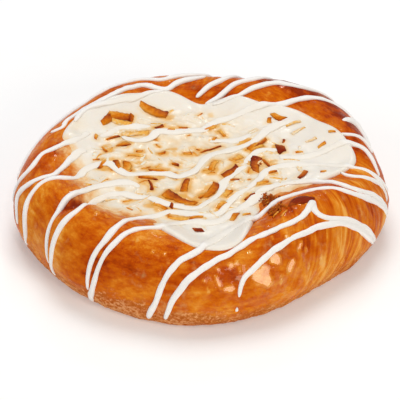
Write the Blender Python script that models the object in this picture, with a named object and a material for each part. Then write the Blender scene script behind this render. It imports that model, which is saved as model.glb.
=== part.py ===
"""Coconut cream snail danish.

A coiled sweet dough with a pool of cream in its middle, toasted coconut over
the cream, and white icing piped in lines across the whole top.

Sizes are in millimetres and the meshes are in metres, +Z up. The origin is the
middle of the flat underside, and the front of the pastry faces -Y.
"""

import math
import random

import bmesh
import bpy
import numpy as np

MM = 0.001
SEED = 11

# The middle of the whole box, which the meshes are moved to stand on.
BOX_MIDDLE = (0.3, 1.1, 0)

# Outline of the pastry: the widest radius and the height of the crest, at 16
# equally spaced bearings that start at +X and go anticlockwise.
RIM_RADII = (61.5, 62, 66.5, 60.5, 62.5, 64, 59.5, 60.5, 62.5, 59.5, 58.5, 59.5, 59.5, 57, 55, 58.5)
CREST_HEIGHTS = (26, 27.5, 28, 30, 27, 28, 29, 27.5, 26, 27.5, 28, 28, 27.5, 27.5, 28, 28)

# Outline of the cream at 24 bearings, with the lobe that runs out to the front
# at 270 degrees and the bay beside it.
CREAM_RADII = (
    48, 49.5, 47, 45.5, 41, 41, 39, 45.5, 46, 47, 49, 48,
    43.5, 42.5, 43.5, 42.5, 36.5, 44, 49.5, 48, 34.5, 30, 31.5, 39,
)

# Section of the rim.
SHOULDER_RUN = 12.5
FOOT_RUN = 7.0
WIDEST_HEIGHT = 11.0
WALL_LENGTH = 30.0
INNER_DIP = 4.0
INNER_DIP_RUN = 9.0

# The coil's seam, where the end of the dough lies against the next turn, and the
# lobes that swell beside it: middle, spread and height of each.
SEAM = ((-62, -25), (-55, -23.5), (-48, -25.5), (-42, -27), (-37.5, -24), (-31, -18))
SEAM_DEPTH = 3.2
SEAM_WIDTH = 3.0
LOBES = ((-54, -14, 11, 1.3), (-40, -41, 12, 1.4), (32, 48, 16, 1.0), (-30, 43, 9, 1.2))

# Low lumps of the rim: waves round the pastry, waves down the wall for each
# millimetre, share of the height, and phase.
RIM_LUMP = 0.5
LUMP_WAVES = ((5, 0.12, 1.0, 0.0), (9, -0.17, 0.6, 1.3))

# Ridges of the dough's layers that show down the right side, between two
# bearings in degrees.
LAYER_RIDGES = 7
LAYER_FIRST = -58
LAYER_LAST = -4
LAYER_SLANT = 9
LAYER_TOPS = (-0.05, 0.15)
LAYER_MIDDLE = 0.35
LAYER_ENDS = (0.55, 0.75)
LAYER_HALF_WIDTH = 1.3
LAYER_HEIGHT = 0.55

# The cream's level and its slow waves, each with its turn for each millimetre
# along X and along Y, its phase and its height.
CREAM_LEVEL = 23.6
CREAM_WAVES = ((0.21, 0.17, 0.5, 0.25), (0.21, -0.17, 1.3, 0.25), (0.33, -0.28, 0.0, 0.25))

# The cream's edge, and the pocket that it fills.
SHORE_RUN = 8.0
LIP_HEIGHT = 1.1
LIP_RUN = 1.6
POCKET_FLOOR = 13.0
POCKET_STEEPNESS = 6
EDGE_DEPTH = 2.0
OUTLINE_MARGIN = 2.0
ABOVE_ALL = 45.0
GAP = 0.3

# Section of a line of icing, with its width where it is rooted and the height
# of its shoulders as shares of its half width and of its height.
ICING_HALF_WIDTH = 1.25
ICING_HEIGHT = 1.5
ROOT_SHARE = 0.9
SHOULDER_SHARE = 0.4
LINE_ROOT = 0.7

# Length of a line's straight stretches and of its tips, the size of a tip's
# end, and the range of its swelling.
LINE_STEP = 7.0
TIP_LENGTH = 0.9
TIP_SIZE = 0.5
LINE_SWELLING = (0.9, 1.15)

# Coconut: every piece's thickness, how deep it is rooted, how much its ends
# narrow, and how far the long ones bend up.
FLAKE_THICKNESS = 0.9
FLAKE_ROOT = 0.45
FLAKE_TAPER = 0.25
LONG_FLAKE = 6.0
LONG_FLAKE_ARCH = 0.5

# Pale pieces: how many, how far from the middle, how far apart, and their
# headings (middle and spread in degrees), lengths and widths.
PALE_FLAKES = 26
PALE_REACH = 33
PALE_SPACING = 3.2
PALE_HEADING = (10, 45)
PALE_LENGTHS = (2.6, 4.8)
PALE_WIDTHS = (1.1, 1.9)

# Where the rings of points lie: down the wall as shares of it, over the top in
# millimetres in from the crest, and over the cream and its pocket as shares of
# the cream's radius, with the rings of its lip in millimetres in from its edge.
COLUMNS = 64
WALL_RINGS = (1.0, 0.84, 0.68, 0.53, 0.4, 0.28, 0.17, 0.08, 0.0)
TOP_RINGS = (3, 7, 12, 20)
POCKET_RINGS = (0.5, 0.8, 1.0)
LIP_RINGS = (0.1, 0.6, 1.8)
CREAM_RINGS = (0.88, 0.72, 0.52, 0.28)

# Positions worked out along each stretch of a line before it is stepped off.
CURVE_SAMPLES = 12

# Edges sharper than this, in degrees, stay hard in the shading.
SHARP_ANGLE = 40

PASTRY_COLOUR, PASTRY_ROUGHNESS = (0.62, 0.21, 0.035), 0.35
CREAM_COLOUR, CREAM_ROUGHNESS = (0.86, 0.80, 0.70), 0.4

# Icing lines, as points on the flat layout that is laid over the pastry:
# inside the crest a point is its plan position, and past the crest its distance
# from the middle is measured down the wall.
ICING_LINES = (
    # Left side, from the cream down the wall.
    ((-44, 15), (-48, 9.5), (-53, 2), (-57.5, -3), (-62, -7)),
    ((-40, 27), (-44, 21), (-49, 18)),
    ((-40, 6), (-43, 1), (-47.5, -7), (-53, -11), (-57.5, -11.5), (-60.5, -14.5), (-63, -18)),
    ((-65, -23), (-59, -19.5), (-53.5, -15), (-47, -11.5), (-41.5, -7), (-37, -2), (-32, 2),
     (-26, -2), (-20, -4), (-11, -3), (-5, -5.5), (1, 4), (9, 9), (15, 11.5), (20, 17), (27, 22),
     (32.5, 23)),
    ((-52.5, -37), (-48.5, -33), (-46, -28), (-42, -22), (-36, -17), (-28, -11.5), (-18, -13)),
    # Front, from the wall up over the cream.
    ((-56, -40), (-48, -36.5), (-43, -32), (-38.5, -26), (-33, -20.5), (-27, -16), (-20, -18.5),
     (-14, -20.5), (-8, -24), (-2, -24), (4, -18), (8, -9.5), (13, -1), (19, 1)),
    ((-38, -49), (-35, -46.5), (-30, -43), (-23.5, -38.5), (-15, -32.5), (-8, -27), (-1, -29),
     (6, -27.5), (10.5, -19), (16.5, -10.5), (22.5, -3), (29.5, 0), (38.5, 0)),
    ((-41, -54), (-35, -50), (-28, -45), (-19, -42.5), (-10, -40), (-3, -32.5), (6, -31),
     (13.5, -25), (19.5, -16.5), (27.5, -12.5), (35.5, -11.5), (44, -14), (51.5, -13.5), (58, -9.5),
     (65, -4)),
    ((-20.5, -67), (-15, -61), (-8, -55), (0, -50), (7, -42), (14.5, -36.5), (21, -28.5),
     (28, -22), (37, -20.5), (45.5, -19), (53, -16), (59, -13.5), (64, -12)),
    ((-14, -67.5), (-9, -60), (0, -55), (9, -50), (17.5, -44), (26.5, -38), (33.5, -31), (35.5, -25.5)),
    ((34.5, -30), (39, -30), (46.5, -27), (53, -23), (58.5, -20.5), (63, -20)),
    ((11, -59), (14.5, -54), (19.5, -48), (26.5, -42), (33.5, -36), (42.5, -30)),
    ((10.5, -64.5), (12, -63.5), (14, -63.5)),
    # Right side.
    ((47, 23), (51, 22), (54, 14.5)),
    ((47, 15), (51, 13), (55, 9.5), (57, 0)),
    ((48.5, -4), (54, -3.5), (59, -2)),
    ((47, -9.5), (53, -8), (58.5, -3.5), (65, 0)),
    # Across the cream.
    ((-33, 15), (-28, 15.5), (-25, 20), (-21, 21.5), (-15, 21.5), (-10, 25)),
    ((-26, 17.5), (-20, 13), (-15, 15), (-12, 19.5), (-5, 19.5), (2, 23), (8.5, 29.5), (18.5, 33),
     (30, 35.5), (38, 36.5), (44.5, 35), (53, 30), (59, 28)),
    ((1, 12.5), (9, 17), (17, 19.5), (23, 23), (29.5, 27), (37, 28)),
    ((14, 2), (19, 9.5), (26, 10)),
    ((26.5, 5.5), (32.5, 5.5), (43, 7.5), (51, 8), (56, 6.5)),
    # Back, over the crest and down the far wall.
    ((-2, 42), (3, 46.5), (9.5, 50), (17, 57)),
    ((1, 39), (6, 41), (12, 45.5), (19.5, 47), (29, 53)),
    ((3.5, 36.5), (10.5, 38), (17.5, 41.5), (25.5, 43.5), (34, 42.5), (43, 43.5), (50, 44)),
    ((-39, 46), (-31, 42), (-24.5, 47), (-17.5, 49), (-9.5, 50), (-1, 51.5), (6, 58)),
    ((-35, 33), (-28.5, 38.5), (-20.5, 44), (-12.5, 44.5), (-5.5, 48.5), (2, 52)),
    ((-25, 56), (-33, 43.5), (-41.5, 33.5), (-50, 22.5), (-56, 13), (-60.5, 2.5)),
)

# Coconut pieces that show most: middle, heading in degrees, length and width.
TOASTED_FLAKES = (
    (-28, 26.5, 24, 10, 1.8), (-25, 24.5, 0, 7, 1.5), (-16, 31.5, -12, 10, 3), (-14, 22.5, 15, 3.5, 1.6),
    (-4, 21.5, 8, 4.5, 1.1), (-28.5, 18.5, 30, 5, 1.3), (-25, 11.5, 80, 4, 3.4), (-20, 8.5, 10, 4, 1.3),
    (-12, 7, 20, 3.5, 1.3), (-4, 6, -8, 4.5, 1.2), (-8, 1.5, -30, 3.6, 1.6), (-14, -3.5, -3, 7, 1.3),
    (-28, 1, -60, 4, 2), (-24, 0, 85, 4.4, 3), (-18, -7.5, 6, 6.5, 1.6), (-16, -12.5, -80, 5.5, 1.2),
    (-4, -10.5, 80, 6, 2.1), (-7, -19, -14, 10, 3.4), (-10, -24.5, 20, 4, 1.6), (2, -13.5, 66, 10, 2.2),
    (10, -4, 58, 7.5, 1.7), (3, 9.5, 24, 7, 1.1), (4, 1, 62, 5, 2), (8.5, -17, 35, 4.5, 3),
    (0, -38.5, 40, 3.4, 3), (27, 10, 30, 3.6, 3), (28, 15.5, 75, 4, 1.1), (19, 12.5, 62, 10, 1.9),
    (19, 0, 88, 9, 2.8), (23.5, 2.5, -60, 6, 1.2), (33.5, -5.5, 60, 4.5, 2.6), (20, -19.5, 20, 5, 4),
    (19.5, -24, 48, 5, 3.4), (15.5, -19, 50, 3.6, 2), (23.5, -5.5, 20, 3.6, 1.9), (25.5, 27, -40, 5, 3),
    (22, 25, 70, 2.6, 2), (39, 9, 12, 3.6, 1.2), (4, 23, 38, 6.5, 2), (10, -31.5, 62, 5, 1.8),
    (32.5, 22, 10, 8, 1.3), (33.5, 13, 12, 4, 1.2), (-32, 1, 70, 3.6, 2.4), (12, -9.5, 0, 3.6, 1.8),
)

# Toasted pieces that lie on the dough in the bay, in the same form.
DOUGH_FLAKES = ((33, -26, 8, 7, 3.6), (23.5, -31, 40, 5, 3))


def around(values, bearing):
    """The smooth closed curve through equally spaced values, at a bearing in radians."""
    values = np.asarray(values, float)
    place = np.mod(bearing, math.tau) / math.tau * len(values)
    index = np.floor(place).astype(int)
    t = place - index
    before, here, after, next_one = (values[(index + k) % len(values)] for k in (-1, 0, 1, 2))
    return 0.5 * (
        2 * here
        + (after - before) * t
        + (2 * before - 5 * here + 4 * after - next_one) * t**2
        + (3 * here - before - 3 * after + next_one) * t**3
    )


def bare_dough(x, y):
    """Points of the smooth dough surface for positions on the flat layout."""
    bearing = np.arctan2(y, x)
    reach = np.hypot(x, y)
    widest = around(RIM_RADII, bearing)
    height = around(CREST_HEIGHTS, bearing)
    crest = widest - SHOULDER_RUN
    turn = np.clip((reach - crest) / WALL_LENGTH, 0, 1) * math.pi
    shoulder = turn <= math.pi / 2
    run = np.where(shoulder, SHOULDER_RUN, FOOT_RUN)
    rise = np.where(shoulder, height - WIDEST_HEIGHT, WIDEST_HEIGHT)
    radius = widest - run + run * np.sin(turn)
    level = WIDEST_HEIGHT + rise * np.cos(turn)
    inward = np.maximum(crest - reach, 0)
    dip = INNER_DIP * (1 - np.exp(-((inward / INNER_DIP_RUN) ** 2)))
    radius = np.where(inward > 0, reach, radius)
    return np.stack([radius * np.cos(bearing), radius * np.sin(bearing), level - dip], -1)


def distance_to_path(x, y, path):
    """Distance on the flat layout from each position to a line through points."""
    nearest = np.full(np.shape(x), np.inf)
    for (x0, y0), (x1, y1) in zip(path, path[1:]):
        length2 = (x1 - x0) ** 2 + (y1 - y0) ** 2
        t = np.clip(((x - x0) * (x1 - x0) + (y - y0) * (y1 - y0)) / length2, 0, 1)
        nearest = np.minimum(nearest, np.hypot(x - x0 - t * (x1 - x0), y - y0 - t * (y1 - y0)))
    return nearest


def relief(x, y):
    """Height of the dough's lumps and of its seam, along the surface's normal."""
    bearing = np.arctan2(y, x)
    reach = np.hypot(x, y)
    height = np.zeros(np.shape(x))
    for round_waves, down_waves, share, phase in LUMP_WAVES:
        turn = round_waves * bearing + down_waves * reach + phase
        height = height + RIM_LUMP * share * np.sin(turn)
    for lobe_x, lobe_y, spread, rise in LOBES:
        height = height + rise * np.exp(-(((x - lobe_x) ** 2 + (y - lobe_y) ** 2) / spread**2))
    seam = np.exp(-((distance_to_path(x, y, SEAM) / SEAM_WIDTH) ** 2))
    return height - SEAM_DEPTH * seam


def surface_normal(surface, x, y):
    step = 0.4
    along_x = surface(x + step, y) - surface(x - step, y)
    along_y = surface(x, y + step) - surface(x, y - step)
    normal = np.cross(along_x, along_y)
    return normal / np.linalg.norm(normal, axis=-1, keepdims=True)


def dough(x, y):
    """Points of the dough surface with its relief, which dies out at the underside."""
    points = bare_dough(x, y)
    fade = np.clip(points[..., 2:] / WIDEST_HEIGHT, 0, 1)
    return points + surface_normal(bare_dough, x, y) * relief(x, y)[..., None] * fade


def inside_cream(x, y):
    """How far each position lies inside the cream's outline, and below 0 outside it."""
    return around(CREAM_RADII, np.arctan2(y, x)) - np.hypot(x, y)


def shore_height(x, y):
    """The dough's height at the cream's outline, at each position's bearing."""
    bearing = np.arctan2(y, x)
    radius = around(CREAM_RADII, bearing)
    return dough(radius * np.cos(bearing), radius * np.sin(bearing))[..., 2]


def cream_top(x, y):
    """Points of the cream's surface: a rounded lip on the dough, then a wavy level."""
    inside = np.maximum(inside_cream(x, y), 0)
    level = np.full(np.shape(x), CREAM_LEVEL)
    for along_x, along_y, phase, rise in CREAM_WAVES:
        level = level + rise * np.sin(along_x * x + along_y * y + phase)
    near = np.exp(-((inside / SHORE_RUN) ** 2))
    lip = LIP_HEIGHT * np.sqrt(1 - (1 - np.minimum(inside / LIP_RUN, 1)) ** 2)
    return np.stack([x, y, near * shore_height(x, y) + (1 - near) * level + lip], -1)


def cream_bottom(x, y, drop=0):
    """Points of the pocket's floor, shallow at the outline, lowered by drop."""
    inside = np.maximum(inside_cream(x, y), 0)
    slope = (1 - inside / around(CREAM_RADII, np.arctan2(y, x))) ** POCKET_STEEPNESS
    shore = shore_height(x, y) - EDGE_DEPTH
    return np.stack([x, y, POCKET_FLOOR + (shore - POCKET_FLOOR) * slope - drop], -1)


def top_surface(x, y, dough_surface=dough):
    """Points of what shows from above: cream inside its outline, dough outside."""
    covered = inside_cream(x, y) > 0
    return np.where(covered[..., None], cream_top(x, y), dough_surface(x, y))


def smooth_top_surface(x, y):
    return top_surface(x, y, bare_dough)


def new_object(name, vertices, faces, collection):
    mesh = bpy.data.meshes.new(name)
    mesh.from_pydata((np.array(vertices) - BOX_MIDDLE) * MM, [], faces)
    shape = bmesh.new()
    shape.from_mesh(mesh)
    bmesh.ops.recalc_face_normals(shape, faces=shape.faces)
    if shape.calc_volume(signed=True) < 0:
        bmesh.ops.reverse_faces(shape, faces=shape.faces)
    shape.to_mesh(mesh)
    shape.free()
    obj = bpy.data.objects.new(name, mesh)
    collection.objects.link(obj)
    return obj


def closed_rings(name, rings, collection):
    """A solid from rings of equal length, each end closed by one face."""
    count = len(rings[0])
    vertices = [point for ring in rings for point in ring]
    faces = [tuple(range(count)), tuple(range(len(vertices) - count, len(vertices)))]
    for r in range(len(rings) - 1):
        for c in range(count):
            d = (c + 1) % count
            faces.append((r * count + c, r * count + d, (r + 1) * count + d, (r + 1) * count + c))
    return new_object(name, vertices, faces, collection)


def column_bearings():
    return np.arange(COLUMNS) / COLUMNS * math.tau


def rings_at(reaches, surface):
    """Rings of points on a surface, each from its distances to the middle column by column."""
    bearings = column_bearings()
    return [surface(reach * np.cos(bearings), reach * np.sin(bearings)) for reach in reaches]


def make_dough(collection):
    """The whole dough without its pocket, from the flat underside to the middle of the top."""
    crest = around(RIM_RADII, column_bearings()) - SHOULDER_RUN
    reaches = [crest + share * WALL_LENGTH for share in WALL_RINGS]
    reaches += [crest - inward for inward in TOP_RINGS]
    rings = rings_at(reaches, dough)
    rings[0][:, 2] = 0
    return closed_rings("dough", rings, collection)


def make_cream_body(collection):
    """The cream alone, run on past its outline so that a clean cut can trim it."""
    outline = around(CREAM_RADII, column_bearings())
    beyond = [outline + OUTLINE_MARGIN]
    floor = [outline * share for share in POCKET_RINGS] + beyond
    top = beyond + [outline - inward for inward in LIP_RINGS]
    top += [outline * share for share in CREAM_RINGS]
    return closed_rings("cream_body", rings_at(floor, cream_bottom) + rings_at(top, cream_top), collection)


def make_pool_cutter(name, grow, drop, collection):
    """The room that the cream takes, up past everything: grow widens it and drop deepens it."""
    outline = around(CREAM_RADII, column_bearings())
    reaches = [outline * share + grow for share in POCKET_RINGS]
    rings = rings_at(reaches, lambda x, y: cream_bottom(x, y, drop))
    rim = rings[-1].copy()
    rim[:, 2] = ABOVE_ALL
    return closed_rings(name, rings + [rim], collection)


def smooth_path(points, step):
    """Positions along a smooth line through the points, a step apart, with one more near each tip."""
    points = np.asarray(points, float)
    ends = np.vstack([2 * points[0] - points[1], points, 2 * points[-1] - points[-2]])
    t = np.linspace(0, 1, CURVE_SAMPLES, endpoint=False)[:, None]
    fine = []
    for before, here, after, beyond in zip(ends, ends[1:], ends[2:], ends[3:]):
        fine.append(
            0.5
            * (
                2 * here
                + (after - before) * t
                + (2 * before - 5 * here + 4 * after - beyond) * t**2
                + (3 * here - before - 3 * after + beyond) * t**3
            )
        )
    fine = np.vstack(fine + [points[-1:]])
    lengths = np.concatenate([[0], np.cumsum(np.linalg.norm(np.diff(fine, axis=0), axis=1))])
    length = lengths[-1]
    marks = np.linspace(0, length, max(2, round(length / step)) + 1)
    marks = [0, TIP_LENGTH, *marks[1:-1], length - TIP_LENGTH, length]
    return np.stack([np.interp(marks, lengths, fine[:, k]) for k in (0, 1)], -1)


def make_line(name, points, half_width, height, collection, rng):
    """A low rounded section carried along its path on the surface, with narrow tips."""
    path = smooth_path(points, LINE_STEP)
    middles = top_surface(path[:, 0], path[:, 1])
    normals = surface_normal(smooth_top_surface, path[:, 0], path[:, 1])
    tips = (0, len(middles) - 1)
    rings = []
    for k, (middle, normal) in enumerate(zip(middles, normals)):
        ahead = middles[min(k + 1, tips[1])] - middles[max(k - 1, 0)]
        side = np.cross(ahead, normal)
        side /= np.linalg.norm(side)
        up = np.cross(side, ahead)
        up /= np.linalg.norm(up)
        size = TIP_SIZE if k in tips else rng.uniform(*LINE_SWELLING)
        half, top = side * half_width * size, up * height * size
        root = up * LINE_ROOT
        rings.append(
            [
                middle - half * ROOT_SHARE - root,
                middle - half + top * SHOULDER_SHARE,
                middle + top,
                middle + half + top * SHOULDER_SHARE,
                middle + half * ROOT_SHARE - root,
            ]
        )
    return closed_rings(name, rings, collection)


def make_layer_ridges(collection, rng):
    """The edges of the rolled dough's layers, as low ridges that run down the right side."""
    for bearing in np.radians(np.linspace(LAYER_FIRST, LAYER_LAST, LAYER_RIDGES)):
        crest = around(RIM_RADII, bearing) - SHOULDER_RUN
        points = []
        for share in (rng.uniform(*LAYER_TOPS), LAYER_MIDDLE, rng.uniform(*LAYER_ENDS)):
            slanted = bearing + math.radians(LAYER_SLANT) * share
            reach = crest + share * WALL_LENGTH
            points.append((reach * math.cos(slanted), reach * math.sin(slanted)))
        make_line("layer_ridge", points, LAYER_HALF_WIDTH, LAYER_HEIGHT, collection, rng)


def make_flake(name, piece, surface, collection):
    """One strip of coconut lying on a surface, a long one bent up in its middle."""
    x, y, heading, length, width = piece
    angle = math.radians(heading)
    along = np.array([math.cos(angle), math.sin(angle)])
    across = np.array([-along[1], along[0]])
    shares, arch = (-0.5, 0.5), 0
    if length > LONG_FLAKE:
        shares, arch = (-0.5, 0, 0.5), LONG_FLAKE_ARCH
    rings = []
    for share in shares:
        middle = np.array([x, y]) + along * length * share
        half = across * width / 2 * (1 - FLAKE_TAPER * abs(share))
        base = surface(middle[:1], middle[1:])[0, 2] + arch * (1 - (2 * share) ** 2)
        rings.append(
            [
                (*(middle + half), base - FLAKE_ROOT),
                (*(middle - half), base - FLAKE_ROOT),
                (*(middle - half), base + FLAKE_THICKNESS),
                (*(middle + half), base + FLAKE_THICKNESS),
            ]
        )
    return closed_rings(name, rings, collection)


def scatter_flakes(collection, rng):
    """Pale pieces half sunk in the cream, spread over the heart-shaped middle."""
    placed = [(x, y) for x, y, *_ in TOASTED_FLAKES]
    while len(placed) < len(TOASTED_FLAKES) + PALE_FLAKES:
        bearing = rng.uniform(0, math.tau)
        reach = PALE_REACH * math.sqrt(rng.random())
        x, y = reach * math.cos(bearing), reach * math.sin(bearing)
        if min(math.hypot(x - other_x, y - other_y) for other_x, other_y in placed) < PALE_SPACING:
            continue
        placed.append((x, y))
        piece = (x, y, rng.gauss(*PALE_HEADING), rng.uniform(*PALE_LENGTHS), rng.uniform(*PALE_WIDTHS))
        make_flake("pale_flake", piece, cream_top, collection)


def boolean(obj, operation, operand):
    """Applies one Boolean on obj, with an object or with every object of a collection.

    The lines of icing cross and touch so often that the EXACT solver returns
    nothing for them, so the MANIFOLD solver does it.
    """
    modifier = obj.modifiers.new(operation.lower(), "BOOLEAN")
    modifier.operation = operation
    modifier.solver = "MANIFOLD"
    if isinstance(operand, bpy.types.Collection):
        modifier.operand_type = "COLLECTION"
        modifier.collection = operand
        operands = list(operand.objects)
    else:
        modifier.object = operand
        operands = [operand]
    graph = bpy.context.evaluated_depsgraph_get()
    mesh = bpy.data.meshes.new_from_object(obj.evaluated_get(graph))
    obj.modifiers.clear()
    obj.data = mesh
    for spent in operands:
        bpy.data.objects.remove(spent)


def keep_outer_shell(obj):
    """Leaves one closed shell: loose scraps go, and so do the walls of sealed hollows, which fills them."""
    shape = bmesh.new()
    shape.from_mesh(obj.data)
    unseen = set(shape.faces)
    shells = []
    while unseen:
        waiting = [unseen.pop()]
        shell = list(waiting)
        while waiting:
            for edge in waiting.pop().edges:
                for neighbour in unseen.intersection(edge.link_faces):
                    unseen.remove(neighbour)
                    waiting.append(neighbour)
                    shell.append(neighbour)
        shells.append(shell)
    shells.sort(key=len)
    for shell in shells[:-1]:
        bmesh.ops.delete(shape, geom=shell, context="FACES")
    shape.to_mesh(obj.data)
    shape.free()


def finish(obj, name, colour, roughness):
    """Gives the node its name, its material and its shading."""
    keep_outer_shell(obj)
    obj.name = name
    obj.data.name = name
    material = bpy.data.materials.new(name)
    material.use_nodes = True
    principled = material.node_tree.nodes["Principled BSDF"]
    principled.inputs["Base Color"].default_value = (*colour, 1)
    principled.inputs["Roughness"].default_value = roughness
    principled.inputs["Metallic"].default_value = 0
    obj.data.materials.clear()
    obj.data.materials.append(material)
    obj.data.shade_smooth()
    obj.data.set_sharp_from_angle(angle=math.radians(SHARP_ANGLE))


def new_collection(name):
    collection = bpy.data.collections.new(name)
    bpy.context.scene.collection.children.link(collection)
    return collection


def main():
    for old in list(bpy.data.objects):
        bpy.data.objects.remove(old)
    rng = random.Random(SEED)
    nodes = bpy.context.scene.collection
    on_pastry = new_collection("icing on the dough")
    on_cream = new_collection("icing and coconut on the cream")

    # Every line is made twice: each node keeps only the stretch on its own side of the outline.
    for points in ICING_LINES:
        line = make_line("icing_line", points, ICING_HALF_WIDTH, ICING_HEIGHT, on_pastry, rng)
        on_cream.objects.link(line.copy())
    make_layer_ridges(on_pastry, rng)
    for piece in DOUGH_FLAKES:
        make_flake("dough_flake", piece, dough, on_pastry)
    for piece in TOASTED_FLAKES:
        make_flake("toasted_flake", piece, cream_top, on_cream)
    scatter_flakes(on_cream, rng)

    pastry = make_dough(nodes)
    boolean(pastry, "UNION", on_pastry)
    keep_outer_shell(pastry)
    boolean(pastry, "DIFFERENCE", make_pool_cutter("pocket", GAP, GAP, nodes))
    finish(pastry, "pastry", PASTRY_COLOUR, PASTRY_ROUGHNESS)

    cream = make_cream_body(nodes)
    boolean(cream, "UNION", on_cream)
    keep_outer_shell(cream)
    boolean(cream, "INTERSECT", make_pool_cutter("trim", 0, OUTLINE_MARGIN, nodes))
    finish(cream, "cream", CREAM_COLOUR, CREAM_ROUGHNESS)
    for emptied in (on_pastry, on_cream):
        bpy.data.collections.remove(emptied)


main()
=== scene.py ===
"""Coconut cream snail danish on a pale table, lit like a shop's picture of it.

Sizes are in millimetres on the pastry and in metres in the studio. The front of
the pastry faces -Y, and the file takes its parts from the tray up: dough with its
glaze, cream, coconut and icing.
"""

import itertools
import math
import random

import bpy
import numpy as np
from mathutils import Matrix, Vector


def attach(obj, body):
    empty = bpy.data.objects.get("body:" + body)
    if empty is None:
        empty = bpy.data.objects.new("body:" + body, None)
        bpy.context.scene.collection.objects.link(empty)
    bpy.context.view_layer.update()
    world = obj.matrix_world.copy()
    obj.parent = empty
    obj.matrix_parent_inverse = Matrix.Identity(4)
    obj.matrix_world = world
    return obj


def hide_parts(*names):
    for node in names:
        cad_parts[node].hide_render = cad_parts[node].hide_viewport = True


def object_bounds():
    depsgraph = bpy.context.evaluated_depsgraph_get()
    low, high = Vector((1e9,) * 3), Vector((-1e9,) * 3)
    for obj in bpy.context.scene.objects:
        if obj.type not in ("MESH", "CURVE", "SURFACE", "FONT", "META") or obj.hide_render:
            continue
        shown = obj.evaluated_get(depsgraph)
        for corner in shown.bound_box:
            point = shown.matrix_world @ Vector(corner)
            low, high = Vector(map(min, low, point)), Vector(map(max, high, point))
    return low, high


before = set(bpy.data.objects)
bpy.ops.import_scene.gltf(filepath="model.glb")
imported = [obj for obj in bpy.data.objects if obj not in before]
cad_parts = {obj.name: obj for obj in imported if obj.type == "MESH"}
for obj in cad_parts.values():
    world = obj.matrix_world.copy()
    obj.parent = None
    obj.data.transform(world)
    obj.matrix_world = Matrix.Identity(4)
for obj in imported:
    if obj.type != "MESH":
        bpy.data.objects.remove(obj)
cad_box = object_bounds()

# The studio: a pale matt table, soft lights round it, and a camera that looks
# down on the pastry's front from about a metre away.
ELEVATION = math.radians(34.0)
DISTANCE = 0.9
FRAME_WIDTH = 0.1326
SENSOR = 36.0
AIM = Vector((-0.00066, -0.0011, 0.01148))
WORLD_STRENGTH = 0.27
TABLE_REACH = 4

away = Vector((0, -math.cos(ELEVATION), math.sin(ELEVATION)))
lens = bpy.data.cameras.new("picture_camera")
lens.sensor_width = SENSOR
lens.lens = SENSOR * DISTANCE / FRAME_WIDTH
lens.clip_start, lens.clip_end = 0.01, 20
camera = bpy.data.objects.new("picture_camera", lens)
camera.location = AIM + away * DISTANCE
camera.rotation_euler = away.to_track_quat("Z", "Y").to_euler()
bpy.context.scene.collection.objects.link(camera)
bpy.context.scene.camera = camera
bpy.context.scene.view_settings.view_transform = "Standard"


def softbox(name, bearing, elevation, distance, size, power, mirrored, tint=(1, 1, 1)):
    """A square studio light that faces the pastry; only some of them show in its gloss."""
    side, height = math.radians(bearing), math.radians(elevation)
    towards = Vector(
        (math.cos(height) * math.cos(side), math.cos(height) * math.sin(side), math.sin(height))
    )
    light = bpy.data.lights.new(name, "AREA")
    light.shape = "SQUARE"
    light.size, light.energy, light.color = size, power, tint
    lamp = bpy.data.objects.new(name, light)
    lamp.location = towards * distance
    lamp.rotation_euler = towards.to_track_quat("Z", "Y").to_euler()
    lamp.visible_glossy = mirrored
    bpy.context.scene.collection.objects.link(lamp)


softbox("overhead_softbox", 95, 72, 1.0, 0.6, 5.6, False)
softbox("front_right_softbox", -58, 24, 0.9, 0.34, 2.7, True, (1, 0.92, 0.77))
softbox("left_fill", 205, 28, 1.2, 0.7, 2.8, False)
softbox("sparkle_lamp", -80, 48, 0.9, 0.06, 0.6, True)
softbox("back_softbox", 86, 42, 1.2, 0.13, 0.8, True)

world = bpy.data.worlds.new("white_studio")
world.use_nodes = True
world.node_tree.nodes["Background"].inputs["Color"].default_value = (1, 1, 1, 1)
world.node_tree.nodes["Background"].inputs["Strength"].default_value = WORLD_STRENGTH
bpy.context.scene.world = world


class Wire:
    """A value between two nodes of a finish, used in plain arithmetic."""

    def __init__(self, finish, socket):
        self.finish, self.socket = finish, socket

    def math(self, operation, *values):
        return self.finish.node("ShaderNodeMath", {"operation": operation}, dict(enumerate(values)))

    def __add__(self, other):
        return self.math("ADD", self, other)

    def __sub__(self, other):
        return self.math("SUBTRACT", self, other)

    def __rsub__(self, other):
        return self.math("SUBTRACT", other, self)

    def __mul__(self, other):
        return self.math("MULTIPLY", self, other)

    __radd__ = __add__
    __rmul__ = __mul__

    def between(self, low, high):
        """0 below low, 1 above high and a smooth rise between them."""
        settings = {"interpolation_type": "SMOOTHSTEP"}
        inputs = {"Value": self, "From Min": low, "From Max": high}
        return self.finish.node("ShaderNodeMapRange", settings, inputs)


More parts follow.
